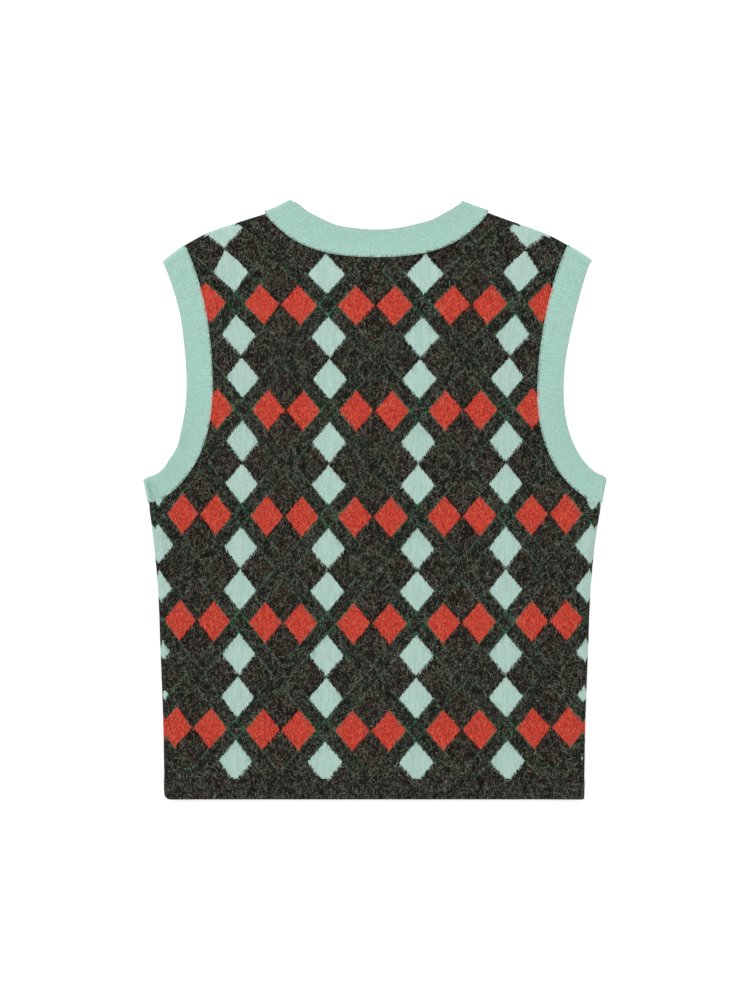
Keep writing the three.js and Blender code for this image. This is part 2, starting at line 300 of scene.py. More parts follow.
class Seam:
    """A curve in the flat cloth, read at even steps of its length."""

    def __init__(self, *ends):
        t = np.linspace(0, 1, 400)
        points = bezier(ends, t) if len(ends) == 4 else lerp(np.array(ends[0]), np.array(ends[1]), t[:, None])
        run = np.append(0, np.cumsum(np.linalg.norm(np.diff(points, axis=0), axis=1)))
        self.length = run[-1]
        self.points, self.run = points, run
        self.along = unit(np.gradient(points, axis=0))

    def at(self, t, beside=0.0):
        want = np.asarray(t) * self.length
        on = np.stack([np.interp(want, self.run, c) for c in self.points.T], -1)
        way = unit(np.stack([np.interp(want, self.run, c) for c in self.along.T], -1))
        return on + beside * np.stack([-way[..., 1], way[..., 0]], -1)


neck_seam_end = on_shoulder(SHOULDER_SEAM_FROM, 0)
neck_edge_end = on_shoulder(NECK_HALF, 0)
tip_seam = on_shoulder(SHOULDER_SEAM_TO, 0)
tip_edge = on_shoulder(SHOULDER_TIP[0], 0)
underarm_seam = np.array([side_edge(UNDERARM_SEAM) - FOLD_RADIUS, UNDERARM_SEAM])
underarm_edge = np.array([side_edge(UNDERARM_EDGE) - FOLD_RADIUS, UNDERARM_EDGE])
seam_middle = (ARMHOLE_MIDDLE_SEAM, ARMHOLE_MIDDLE_UP)
edge_middle = (ARMHOLE_MIDDLE_EDGE, ARMHOLE_MIDDLE_UP + 3)
ARMHOLE_SEAM = [
    Seam(underarm_seam, (196, 295), (158.8, 330), seam_middle),
    Seam(seam_middle, (158.8, 450), (170, 502), tip_seam),
]
ARMHOLE_EDGE = [
    Seam(underarm_edge, (203, 324), (183.8, 352), edge_middle),
    Seam(edge_middle, (183.8, 442), (194, 490), tip_edge),
]
front_point = np.array([0, HIGH_POINT - FRONT_NECK_DROP])
slant = neck_edge_end - front_point
mitre = NECK_BAND_WIDTH * np.linalg.norm(slant) / slant[0]
NECK_SEAM = {
    "back": Seam((0, BACK_NECK_SEAM), (45, BACK_NECK_SEAM), (80, 537), neck_seam_end),
    "front": Seam(front_point - (0, mitre), neck_seam_end),
}
NECK_EDGE = {
    "back": Seam((0, BACK_NECK_EDGE), (38, BACK_NECK_EDGE), (58, 570), neck_edge_end),
    "front": Seam(front_point, neck_edge_end),
}


def bump(x, up, middle, height, wide, tall):
    """1 at a place of the flat cloth, and less all round it."""
    return np.exp(-(((x - middle) / wide) ** 2) - ((up - height) / tall) ** 2)


def chart(flat):
    """Where a flat point falls in the argyle chart, in periods, with whole numbers where its lines cross.
    The knit runs a little wider over the shoulders and a little closer at the sides."""
    x, up = flat[..., 0], flat[..., 1]
    wide, high = x / 200, (up - 300) / 300
    x = x + sum(far * wide**i * high**j for i, j, far in DRAWN_ACROSS)
    up = up + sum(far * wide**i * high**j for i, j, far in DRAWN_UP)
    # Under the arms the mint tips are drawn down.
    up = up + (8 + 3 * np.sign(x)) * bump(np.abs(x), up, 213, 284, 9, 10)
    # At the shoulders the mint diamonds' upper tips lean outwards, and the left one's lower tip inwards.
    crossing = bump(np.abs(x), up, 148, 541, 22, 18)
    x = x - np.where(x < 0, -4.0, 2.5) * crossing - 2.5 * bump(x, up, -148, 492, 22, 14)
    up = up - 2.3 * crossing
    near_shoulder = smooth((up - 505) / 50) * smooth((np.abs(x) - 105) / 30)
    up = up + 0.25 * near_shoulder * (np.abs(x) - 146)
    period = PERIOD_WIDE + 8.5 * smooth((up - 400) / 130) + smooth((120 - up) / 100)
    period = period + 5 * smooth((up - 520) / 60)
    centre = -0.4 - 3.1 * (1 - smooth(up / 400))
    q = (x - centre) / period
    lift = 2.5 * smooth((up - 250) / 300) * (x / 200) ** 2
    return np.stack([q * (1 + 0.005 * q * q) - 0.5, (up - lift - LOWEST_CROSSING) / PERIOD_TALL], -1)


def front_chart(flat):
    """The front is knitted a little wider, since it goes round both folds.
    Its pattern is set so that its mint diamonds come over the shoulder folds."""
    share = smooth((flat[..., 1] - 400) / 150)
    x, up = flat[..., 0], flat[..., 1]
    up = up - 7 * share + 8 * bump(x, up, -225, 287, 8, 7)
    return np.stack([(x - 2.5 * share) * 0.948, up], -1)


def select_only(piece):
    bpy.ops.object.select_all(action="DESELECT")
    piece.select_set(True)
    bpy.context.view_layer.objects.active = piece


def in_edit_mode(piece, *steps):
    select_only(piece)
    bpy.ops.object.mode_set(mode="EDIT")
    bpy.ops.mesh.select_all(action="SELECT")
    for step in steps:
        step()
    bpy.ops.object.mode_set(mode="OBJECT")


def write_map(piece, name, values):
    """Gives a mesh a UV map with a pair of numbers for each face corner."""
    maps = piece.data.uv_layers
    layer = maps.active or maps.new(name=name)
    layer.name = name
    layer.uv.foreach_set("vector", np.ascontiguousarray(values, np.float32).ravel())


def corners(piece):
    found = np.empty(len(piece.data.loops), np.int32)
    piece.data.loops.foreach_get("vertex_index", found)
    return found


def grid_piece(name, places, marks):
    """A sheet from a grid primitive, laid point by point.
    places and marks have a row for each row of points."""
    rows, columns = places.shape[:2]
    bpy.ops.object.select_all(action="DESELECT")
    cells = {"x_subdivisions": columns - 1, "y_subdivisions": rows - 1}
    bpy.ops.mesh.primitive_grid_add(size=1, calc_uvs=True, **cells)
    piece = bpy.context.object
    piece.name = piece.data.name = name
    assert len(piece.data.vertices) == rows * columns, (len(piece.data.vertices), rows, columns)
    piece.data.vertices.foreach_set("co", places.reshape(-1, 3).ravel())
    write_map(piece, "Knit", marks.reshape(-1, 2)[corners(piece)])
    return piece


def closed_piece(name, places, marks, once_round):
    """A tube of cloth, closed round its wall and all round the garment, with its outside out.
    once_round is what its marks gain when they have gone all round."""
    around = np.concatenate([places, places[:, :1]], axis=1)
    around = np.concatenate([around, around[:1]], axis=0)
    marks = np.concatenate([marks, marks[:, :1]], axis=1)
    marks = np.concatenate([marks, marks[:1] + once_round], axis=0)
    piece = grid_piece(name, around, marks)
    in_edit_mode(
        piece,
        lambda: bpy.ops.mesh.remove_doubles(threshold=0.000001),
        lambda: bpy.ops.mesh.normals_make_consistent(inside=False),
    )
    bpy.ops.object.shade_smooth()
    return piece


def wall_of(piece, thick):
    select_only(piece)
    wall = piece.modifiers.new("wall", "SOLIDIFY")
    wall.thickness = thick / 1000
    wall.offset = -1
    bpy.ops.object.modifier_apply(modifier="wall")
    bpy.ops.object.shade_smooth()


def steps_to(count):
    return np.linspace(0, 1, count + 1)


def panel_side(past, fine):
    """The right edge of a panel: side seam, turn under the band, armhole seam and shoulder."""
    up = lerp(HEM_DEPTH - 0.4, UNDERARM_SEAM, steps_to(fine["side"]))
    side = np.stack([side_edge(up) - FOLD_RADIUS + past, up], -1)
    turn = steps_to(fine["turn"])[1:]
    under = np.stack([underarm_seam[0] + past * (1 - turn), np.full_like(turn, UNDERARM_SEAM)], -1)
    armhole = np.vstack([seam.at(steps_to(fine["armhole"])[1:]) for seam in ARMHOLE_SEAM])
    over = np.array([carried(armhole[-1], SHOULDER_SEAM_TO, t * past) for t in turn])
    return np.vstack([side, under, armhole, over])


def panel_top(layer, past, corner, fine):
    neck = NECK_SEAM[layer].at(steps_to(fine["neck"]))
    turn = steps_to(fine["turn"])[1:]
    over = np.array([carried(neck[-1], SHOULDER_SEAM_FROM, t * past) for t in turn])
    shares = steps_to(fine["shoulder"])[1:-1]
    shoulder = np.array([on_shoulder(lerp(SHOULDER_SEAM_FROM, SHOULDER_SEAM_TO, t), past) for t in shares])
    return np.vstack([neck, over, shoulder, [corner]])


def panel_grid(layer, past, fine):
    """A panel's flat points, blended in from its edges as in the part."""
    side = panel_side(past, fine)
    top = panel_top(layer, past, side[-1], fine)
    inner = fine["neck"] + fine["turn"]
    shares = np.append(np.linspace(0, 0.55, inner + 1), np.linspace(0.55, 1, fine["shoulder"] + 1)[1:])
    run = np.append(0, np.cumsum(np.linalg.norm(np.diff(side, axis=0), axis=1)))
    v = (run / run[-1])[:, None, None]
    centre = np.array([0, 1]) * lerp(side[0, 1], top[0, 1], v)
    a = shares[None, :, None]
    shape = top - lerp(top[0], side[-1], shares[:, None])
    half = lerp(centre, side[:, None, :], a) + shape[None] * v**5
    mirrored = half[:, :0:-1] * (-1, 1)
    return np.concatenate([mirrored, half], axis=1)


def make_panel(layer, fine):
    front = layer == "front"
    past = HALF_TURN - SEAM_TURN if front else SEAM_TURN
    flat = panel_grid(layer, past, fine)
    marks = chart(front_chart(flat) if front else flat)
    piece = grid_piece(layer + "_knit", lay(flat, front, 0, NAP_ROOM, panel=True), marks)
    if front:
        in_edit_mode(piece, bpy.ops.mesh.flip_normals)
    wall_of(piece, PANEL_THICK)
    return piece, flat


FINE_BACK = {"side": 84, "turn": 2, "armhole": 42, "neck": 54, "shoulder": 50}
FINE_FRONT = {"side": 60, "turn": 9, "armhole": 32, "neck": 36, "shoulder": 50}


def band_section(wide):
    """Round a band's wall: millimetres from its seam, depth, and how much of the ribs' height shows there."""
    inner = np.linspace(1.6, wide - 1.4, 7)
    skin = [(-0.8, 0.95, 0), (-0.7, 0.45, 0), (-0.2, 0.12, 0), (0.5, 0.06, 0), (1.1, 0.2, 0.3)]
    skin += [(w, RIB_HEIGHT + 0.05, 1) for w in inner]
    skin += [(wide - 0.9, 0.3, 0.5), (wide - 0.45, 0.3, 0.15), (wide - 0.12, 0.6, 0), (wide, 1.1, 0)]
    lining = [(w, BAND_THICK - depth, -show) for w, depth, show in reversed(skin)]
    return np.array(skin + lining)


def ring_piece(name, seam, edge, front, ribs):
    """A ribbed band, from its stations' points on the seam and on the free edge. ribs counts along it."""
    length = np.linalg.norm(edge - seam, axis=1)
    section = band_section(float(np.median(length)))
    count = len(section)
    share = section[None, :, 0] / section[:, 0].max()
    flat = seam[:, None] + share[..., None] * (edge - seam)[:, None]
    crest = RIB_HEIGHT * (0.5 + 0.5 * np.cos(2 * math.pi * ribs)) ** 0.7
    depth = section[None, :, 1] - section[None, :, 2] * crest[:, None]
    places = lay(flat, front[:, None], BAND_PROUD, depth)
    marks = np.stack(np.broadcast_arrays(ribs[:, None], share * RIB_WIDE), -1)
    return closed_piece(name, places, marks, (ribs[-1] + (ribs[-1] - ribs[-2]), 0))


def ribbed(stretches):
    """Stations for a closed band from its stretches, each with a whole number of ribs."""
    seams, edges, fronts, ribs = [], [], [], []
    counted = 0
    for place, front in stretches:
        seam, edge = place(steps_to(40))
        number = max(1, round(length_of((seam + edge) / 2) / RIB_PITCH))
        t = np.arange(number * STATIONS) / (number * STATIONS)
        seam, edge = place(t)
        seams.append(seam)
        edges.append(edge)
        fronts.append(np.full(len(t), front))
        ribs.append(counted + t * number)
        counted += number
    return np.vstack(seams), np.vstack(edges), np.concatenate(fronts), np.concatenate(ribs)


def neck_place(layer, side, back_to_front):
    def place(t):
        t = t if back_to_front else 1 - t
        return NECK_SEAM[layer].at(t) * (side, 1), NECK_EDGE[layer].at(t) * (side, 1)

    return place


def neck_over(side, forward):
    def place(t):
        over = (t if forward else 1 - t) * HALF_TURN
        seam = np.array([carried(neck_seam_end, SHOULDER_SEAM_FROM, o) for o in over])
        edge = np.array([carried(neck_edge_end, NECK_HALF, o) for o in over])
        return seam * (side, 1), edge * (side, 1)

    return place


def neck_stretches():
    return [
        (neck_place("back", 1, True), False),
        (neck_over(1, True), False),
        (neck_place("front", 1, False), True),
        (neck_place("front", -1, True), True),
        (neck_over(-1, False), False),
        (neck_place("back", -1, False), False),
    ]


def armhole_stretches(side):
    def run(up):
        def place(t):
            t = (t if up else 1 - t) * 2
            lower = t <= 1
            share = np.where(lower, t, t - 1)
            seam = np.where(lower[:, None], ARMHOLE_SEAM[0].at(share), ARMHOLE_SEAM[1].at(share))
            edge = np.where(lower[:, None], ARMHOLE_EDGE[0].at(share), ARMHOLE_EDGE[1].at(share))
            return seam * (side, 1), edge * (side, 1)

        return place

    def over_shoulder(t):
        over = t * HALF_TURN
        seam = np.array([carried(tip_seam, SHOULDER_SEAM_TO, o) for o in over])
        edge = np.array([carried(tip_edge, SHOULDER_TIP[0], o) for o in over])
        return seam * (side, 1), edge * (side, 1)

    def under_arm(t):
        over = (1 - t) * HALF_TURN
        drop = UNDERARM_DROP * np.sin(over / FOLD_RADIUS)
        seam = underarm_seam + np.stack([over, 0 * over], -1)
        edge = underarm_edge + np.stack([over, -drop], -1)
        return seam * (side, 1), edge * (side, 1)

    return [(run(True), False), (over_shoulder, False), (run(False), True), (under_arm, False)]


def make_hem():
    """The plain turned edge: down the skin, round the lowest edge and up inside, all round the body."""
    ups = [20.3, 19.9, 19.3, 18, 15.5, 13, 10.5, 8, 5.5, 3.2, 1.8, 0.9, 0.35, 0.1]
    depths = [0.62, 0.32, 0.2, 0.2, 0.2, 0.2, 0.2, 0.2, 0.22, 0.25, 0.35, 0.6, 0.95, 1.4]
    skin = list(zip(ups, depths))
    loop = np.array(skin + [(up, BAND_THICK - deep) for up, deep in reversed(skin)])
    share = steps_to(100)[:-1]
    turn = steps_to(8)[:-1]

    def at(share, over):
        out = share[:, None] * (side_edge(loop[:, 0]) - FOLD_RADIUS)[None] + over[:, None]
        return np.stack([out, np.broadcast_to(loop[:, 0], out.shape)], -1)

    back = at(share, 0 * share)
    fold = at(np.ones(8), turn * HALF_TURN)
    front = at(1 - share, 0 * share)
    right = np.concatenate([back, fold, front])
    on_front = np.repeat([False, True], [len(back) + len(fold), len(front)])
    left = np.concatenate([at(0 * share[:1], 0 * share[:1]), right[:0:-1]]) * (-1, 1)
    flat = np.concatenate([right, left])
    on_front = np.concatenate([on_front, [True], on_front[:0:-1]])
    places = lay(flat, on_front[:, None], BAND_PROUD, loop[None, :, 1])
    return closed_piece("hem_knit", places, chart(flat), (0, 0))


def dye(red, green, blue, alpha=1.0):
    """A colour as it reads on a screen, made linear."""
    parts = [c / 255 for c in (red, green, blue)]
    return [c / 12.92 if c <= 0.04045 else ((c + 0.055) / 1.055) ** 2.4 for c in parts] + [alpha]


class Finish:
    """A material, with short ways to write its nodes."""

    def __init__(self, name, roughness, sheen, sheen_roughness=0.5, specular=0.04):
        self.material = bpy.data.materials.new(name)
        self.material.use_nodes = True
        self.nodes = self.material.node_tree.nodes
        self.links = self.material.node_tree.links
        self.shader = self.nodes["Principled BSDF"]
        self.shader.inputs["Roughness"].default_value = roughness
        self.shader.inputs["Sheen Weight"].default_value = sheen
        self.shader.inputs["Sheen Roughness"].default_value = sheen_roughness
        self.shader.inputs["Specular IOR Level"].default_value = specular

    def put(self, socket, value):
        if isinstance(value, bpy.types.NodeSocket):
            self.links.new(value, socket)
        else:
            socket.default_value = value

    def sum(self, operation, *values, clamp=False):
        node = self.nodes.new("ShaderNodeMath")
        node.operation = operation
        node.use_clamp = clamp
        for socket, value in zip(node.inputs, values):
            self.put(socket, value)
        return node.outputs[0]

    def times(self, one, other):
        return self.sum("MULTIPLY", one, other)

    def times_and(self, one, other, added, clamp=False):
        return self.sum("MULTIPLY_ADD", one, other, added, clamp=clamp)

    def gap(self, one, other):
        return self.sum("ABSOLUTE", self.sum("SUBTRACT", one, other))

    def step(self, value, low, high, first=0.0, last=1.0):
        node = self.nodes.new("ShaderNodeMapRange")
        node.interpolation_type = "SMOOTHSTEP"
        for socket, given in zip(node.inputs, (value, low, high, first, last)):
            self.put(socket, given)
        return node.outputs[0]

    def mix(self, share, first, second, blend="MIX"):
        node = self.nodes.new("ShaderNodeMix")
        node.data_type = "RGBA"
        node.blend_type = blend
        for number, value in zip((0, 6, 7), (share, first, second)):
            self.put(node.inputs[number], value)
        return node.outputs[2]

    def map(self, name="Knit"):
        node = self.nodes.new("ShaderNodeUVMap")
        node.uv_map = name
        apart = self.nodes.new("ShaderNodeSeparateXYZ")
        self.links.new(node.outputs[0], apart.inputs[0])
        return apart.outputs[0], apart.outputs[1]

    def place(self):
        node = self.nodes.new("ShaderNodeTexCoord")
        apart = self.nodes.new("ShaderNodeSeparateXYZ")
        self.links.new(node.outputs["Object"], apart.inputs[0])
        return apart.outputs

    def pair(self, x, y, z=0.0):
        node = self.nodes.new("ShaderNodeCombineXYZ")
        for socket, value in zip(node.inputs, (x, y, z)):
            self.put(socket, value)
        return node.outputs[0]

    def chance(self, place):
        node = self.nodes.new("ShaderNodeTexWhiteNoise")
        node.noise_dimensions = "3D"
        self.put(node.inputs["Vector"], place)
        apart = self.nodes.new("ShaderNodeSeparateColor")
        self.links.new(node.outputs["Color"], apart.inputs[0])
        return apart.outputs

    def relief(self, height, deep):
        node = self.nodes.new("ShaderNodeBump")
        node.inputs["Strength"].default_value = 1.0
        node.inputs["Distance"].default_value = deep
        self.put(node.inputs["Height"], height)
        self.links.new(node.outputs[0], self.shader.inputs["Normal"])

    def colour(self, value):
        self.put(self.shader.inputs["Base Color"], value)

    def rough(self, value):
        self.put(self.shader.inputs["Roughness"], value)


def stitches(finish, across, up):
    """The stitch a point is in, a v of two legs. Gives its number pair, which leg, and the leg's relief."""
    wale = finish.sum("FLOOR", across)
    beside = finish.sum("SUBTRACT", finish.sum("FRACT", across), 0.5)
    out = finish.sum("ABSOLUTE", beside)
    climb = finish.times_and(out, -1.1, up)
    course = finish.sum("FLOOR", climb)
    side = finish.sum("GREATER_THAN", beside, 0.0)
    off = finish.times(finish.gap(out, 0.25), 4.0)
    round_leg = finish.sum("SUBTRACT", 1.0, finish.times(off, off))
    run = finish.sum("SINE", finish.times(finish.sum("FRACT", climb), math.pi))
    height = finish.times(round_leg, finish.times_and(run, 0.55, 0.45))
    return wale, course, side, height


def heather(finish, stitch, leg, shade, tints):
    """Dark wool spun with lighter fibres. A stitch and its two legs each stray from the yarn's own colour."""
    own = finish.chance(stitch)
    chance = finish.chance(leg)
    tone = finish.times_and(own[0], 0.3, finish.times(chance[0], 0.7))
    body = finish.mix(finish.step(tone, 0.1, 0.9), shade[0], shade[1])
    fleck = finish.mix(chance[2], tints[0], tints[1])
    lit = finish.times_and(own[1], 0.25, finish.times(chance[1], 0.75))
    return finish.mix(finish.step(lit, 0.62, 0.98), body, fleck)


def argyle_colour(finish, yarn):
    """The argyle, stitch by stitch. Gives its colour, the leg's own chances and its relief."""
    x, y = finish.map()
    across = finish.times(x, WALES)
    up = finish.times(y, COURSES)
    wale, course, side, height = stitches(finish, across, up)
    leg = finish.pair(wale, course, side)
    stitch = finish.pair(wale, course, 7.0)
    chance = finish.chance(finish.pair(wale, course, 9.0))
    # Each leg takes the colour at its own middle, strayed a little.
    middle = finish.times_and(side, 0.5, 0.25)
    col = finish.sum("DIVIDE", finish.sum("ADD", wale, middle), WALES)
    row = finish.sum("DIVIDE", finish.sum("ADD", course, 0.8), COURSES)
    row = finish.times_and(finish.sum("SUBTRACT", chance[0], 0.5), 0.007, row)
    a = finish.sum("ADD", col, row)
    b = finish.sum("SUBTRACT", col, row)
    inside_a = finish.sum("FRACT", a)
    inside_b = finish.sum("FRACT", b)
    from_line_a = finish.sum("PINGPONG", a, 0.5)
    from_line_b = finish.sum("PINGPONG", b, 0.5)
    nearest = finish.sum("MINIMUM", from_line_a, from_line_b)
    diamond = finish.sum("GREATER_THAN", nearest, BAND_HALF)
    from_middle = finish.sum("MAXIMUM", from_line_a, from_line_b)
    clear = finish.sum("LESS_THAN", from_middle, 0.5 - GAP_HALF)
    odd = finish.sum("PINGPONG", finish.sum("ADD", finish.sum("FLOOR", a), finish.sum("FLOOR", b)), 1.0)
    # The crossings are numbered like a draughtboard: mint and red tips meet on one colour of square.
    corners_apart = finish.sum("ADD", finish.sum("ROUND", a), finish.sum("ROUND", b))
    tips_meet = finish.sum("SUBTRACT", 1.0, finish.sum("PINGPONG", corners_apart, 1.0))
    upper_a = finish.sum("GREATER_THAN", inside_a, 0.5)
    upper_b = finish.sum("GREATER_THAN", inside_b, 0.5)
    apart = finish.gap(upper_a, upper_b)
    wanted = finish.sum("COMPARE", apart, odd, 0.1)
    filled = finish.times(finish.times(diamond, clear), wanted)
    mint = finish.times(filled, odd)
    red = finish.times(filled, finish.sum("SUBTRACT", 1.0, odd))
    red = finish.times(red, finish.sum("LESS_THAN", row, LAST_RED_ROW))
    brown = finish.times_and(odd, -0.3, 0.95)
    brown = finish.times(diamond, brown)
    ground = finish.mix(
        brown, heather(finish, stitch, leg, *yarn["dark"]), heather(finish, stitch, leg, *yarn["brown"])
    )
    # A thin line of grey-green stitches edges each cell, and runs on where the mint and red tips meet.
    lines = []
    for near, other in ((from_line_a, from_line_b), (from_line_b, from_line_a)):
        on = finish.step(finish.gap(near, LINE_AT), 0.007, 0.018, 1.0, 0.0)
        ends = finish.sum("GREATER_THAN", other, LINE_AT - 0.008)
        lines.append(finish.times(on, finish.sum("MAXIMUM", ends, tips_meet)))
    line = finish.sum("MAXIMUM", lines[0], lines[1])
    near_tips = finish.step(finish.sum("MAXIMUM", from_line_a, from_line_b), 0.12, 0.34, 1.0, 0.0)
    near_tips = finish.times(near_tips, tips_meet)
    seen = finish.times(line, finish.step(chance[2], 0.25, 0.75))
    seen = finish.times(seen, finish.times_and(near_tips, 0.25, 0.56))
    grey_green = finish.mix(chance[1], dye(64, 88, 72), dye(122, 134, 114))
    bright_green = finish.mix(chance[1], dye(22, 84, 60), dye(46, 128, 90))
    green = finish.times_and(near_tips, 0.8, finish.times(chance[0], 0.6), clamp=True)
    ground = finish.mix(seen, ground, finish.mix(green, grey_green, bright_green))
    tone = finish.chance(leg)
    streak = finish.chance(finish.pair(wale, finish.sum("FLOOR", finish.sum("DIVIDE", course, 9.0)), 11.0))
    pale = finish.times_and(streak[0], 0.5, finish.times(tone[0], 0.5))
    pale = finish.mix(pale, *yarn["mint"])
    hot = finish.mix(finish.step(tone[0], 0.0, 1.0), *yarn["red"])
    hot = finish.mix(finish.times(finish.step(tone[1], 0.88, 1.0), 0.5), hot, dye(226, 140, 96))
    look = finish.mix(mint, ground, pale)
    look = finish.mix(red, look, hot)
    return look, tone, height


def argyle_finish():
    finish = Finish("argyle_knit_wool", 0.9, 0.06)
    look, tone, height = argyle_colour(finish, CLOTH)
    finish.colour(look)
    finish.rough(finish.step(tone[2], 0.0, 1.0, 0.82, 0.98))
    finish.relief(height, 0.0006)
    return finish.material


def hair_finish():
    """The brushed fibres that stand off the argyle, a little paler than the stitches they grow from."""
    finish = Finish("brushed_wool_hair", 0.85, 0.08)
    look, tone, height = argyle_colour(finish, HAIR)
    finish.colour(look)
    finish.rough(finish.step(tone[2], 0.0, 1.0, 0.75, 0.95))
    return finish.material


def pale_hair_finish():
    """Long single hairs, each one of the light fibres spun into the dark yarn."""
    finish = Finish("pale_long_hair", 0.8, 0.1)
    x, y = finish.map()
    own = finish.chance(finish.pair(x, y, 3.0))
    bright = finish.sum("POWER", own[0], 1.6)
    shade = finish.mix(bright, dye(76, 78, 66), dye(166, 168, 154))
    shade = finish.mix(finish.step(own[1], 0.8, 0.9), shade, dye(46, 100, 68))
    shade = finish.mix(finish.step(own[2], 0.86, 0.92), shade, dye(112, 86, 73))
    finish.colour(shade)
    finish.rough(finish.step(own[2], 0.0, 1.0, 0.7, 0.95))
    return finish.material


def dark_finish():
    finish = Finish("dark_knit_wool", 0.9, 0.06)
    x, y = finish.map()
    wale, course, side, height = stitches(
        finish, finish.times(x, WALES), finish.times(y, COURSES)
    )
    leg = finish.pair(wale, course, side)
    finish.colour(heather(finish, finish.pair(wale, course, 7.0), leg, HEM_SHADES, HEM_TINTS))
    finish.rough(finish.step(finish.chance(leg)[2], 0.0, 1.0, 0.82, 0.98))
    finish.relief(height, 0.0006)
    return finish.material


def rib_finish():
    finish = Finish("mint_rib_wool", 0.88, 0.15)
    ribs, across = finish.map()
    course = finish.sum("DIVIDE", across, 1.5)
    wale, row, side, height = stitches(finish, finish.sum("ADD", ribs, 0.5), course)
    tone = finish.chance(finish.pair(wale, row, side))
    crest = finish.sum("PINGPONG", ribs, 0.5)
    pale = finish.mix(tone[0], dye(150, 188, 176), dye(164, 201, 189))
    # The grooves between the ribs are painted darker: painted shade in the recesses.
    groove_shade = finish.step(crest, 0.28, 0.5, 0.0, 0.24)
    look = finish.mix(groove_shade, pale, dye(128, 172, 158))
    # The linked row along the seam is a little paler, and the rounded free edge is painted grey, a painted
    # shade where it turns away.
    look = finish.mix(finish.step(across, 0.9, 1.5, 0.3, 0.0), look, dye(182, 208, 200))
    look = finish.mix(finish.step(across, RIB_WIDE - 1.0, RIB_WIDE - 0.3, 0.0, 0.6), look, dye(154, 162, 156))
    # Under the arms, where the fold is pressed in, light and shade are painted: on the left a soft painted
    # shade and a grey painted shadow along the crease, on the right a thin painted highlight.
    place = finish.place()
    near = finish.step(finish.gap(place[1], UNDERARM_MIDDLE), 0.006, 0.012, 1.0, 0.0)
    for middle, slope, wide, strong, tint in (
        (-0.2125, 0.22, 0.010, 0.5, dye(132, 170, 156)),
        (-0.2161, 0.22, 0.003, 0.6, dye(112, 146, 134)),
        (0.2204, -0.05, 0.0016, 0.5, dye(196, 202, 198)),
    ):
        off = finish.times_and(place[1], slope, place[0])
        fold_shade_and_highlight = finish.times(finish.step(finish.gap(off, middle), 0.0, wide, strong, 0.0), near)
        look = finish.mix(fold_shade_and_highlight, look, tint)
    finish.colour(look)
    finish.rough(finish.step(tone[2], 0.0, 1.0, 0.8, 0.95))
    finish.relief(height, 0.0004)
    return finish.material


def rib_hair_finish():
    finish = Finish("mint_soft_hair", 0.85, 0.1)
    ribs, across = finish.map()
    tone = finish.chance(finish.pair(ribs, across, 5.0))
    finish.colour(finish.mix(tone[0], dye(152, 190, 178), dye(182, 216, 206)))
    finish.rough(finish.step(tone[2], 0.0, 1.0, 0.75, 0.95))
    return finish.material


# In periods of the chart: half a dark band, half the gap between two tips, and a thin line's place.
BAND_HALF = 0.109
GAP_HALF = 0.012
LINE_AT = 0.099
# No red diamond starts above this row of crossings.
LAST_RED_ROW = 4.5
# The height of the underarms, in metres from the middle.
UNDERARM_MIDDLE = 0.0096
# Each dark yarn has two shades it strays between, and two tints of the lighter fibres spun in.
CLOTH = {
    "dark": ((dye(8, 7, 6), dye(27, 28, 23)), (dye(108, 101, 90), dye(58, 88, 66))),
    "brown": ((dye(10, 8, 6), dye(32, 28, 22)), (dye(96, 97, 86), dye(102, 72, 60))),
    "mint": (dye(167, 198, 188), dye(190, 218, 208)),
    "red": (dye(170, 46, 36), dye(214, 76, 60)),
}
HAIR = {
    "dark": ((dye(8, 7, 6), dye(30, 31, 25)), (dye(124, 116, 104), dye(68, 102, 76))),
    "brown": ((dye(10, 8, 6), dye(33, 29, 24)), (dye(112, 111, 100), dye(116, 84, 71))),
    "mint": (dye(178, 208, 198), dye(200, 228, 218)),
    "red": (dye(188, 58, 46), dye(220, 98, 76)),
}
HEM_SHADES = dye(10, 9, 8), dye(33, 29, 27)
HEM_TINTS = dye(115, 112, 104), dye(90, 81, 74)

argyle = argyle_finish()
wool_hair = hair_finish()
pale_hair = pale_hair_finish()
dark = dark_finish()
rib = rib_finish()
rib_hair = rib_hair_finish()


def dress(piece, slot, finish, *nodes):
    piece.data.materials.clear()
    piece.data.materials.append(finish)
    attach(piece, "root")
    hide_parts(*nodes)
    return piece


def surface(flat):
    """The flat area that a grid of points covers."""
    d = (flat[1:, 1:] - flat[:-1, :-1]), (flat[1:, :-1] - flat[:-1, 1:])
    return float(np.abs(d[0][..., 0] * d[1][..., 1] - d[0][..., 1] * d[1][..., 0]).sum() / 2)


back_knit, back_flat = make_panel("back", FINE_BACK)
front_knit, front_flat = make_panel("front", FINE_FRONT)
neck_rib = ring_piece("neck_ribbing", *ribbed(neck_stretches()))
left_rib = ring_piece("left_armhole_ribbing", *ribbed(armhole_stretches(-1)))
right_rib = ring_piece("right_armhole_ribbing", *ribbed(armhole_stretches(1)))
hem = make_hem()

dress(back_knit, "argyle_knit", argyle, "back_panel")
dress(front_knit, "argyle_knit", argyle, "front_panel")
dress(neck_rib, "mint_rib", rib, "neck_band")
dress(left_rib, "mint_rib", rib, "armhole_band_left")
dress(right_rib, "mint_rib", rib, "armhole_band_right")
dress(hem, "dark_knit", dark, "hem_band")


# A fibre is three triangles over five points: two at its root, two half way, one at its tip.
FIBRE_FACES = [(0, 1, 3), (0, 3, 2), (2, 3, 4)]
# The heading of the nap, down the body, and the millimetres between stitches of a linked row and of a seam.
DOWNWARDS = -1.57
LINK_PITCH = 1.9
SEAM_PITCH = 1.75
FUZZ_A_MM = 2.4


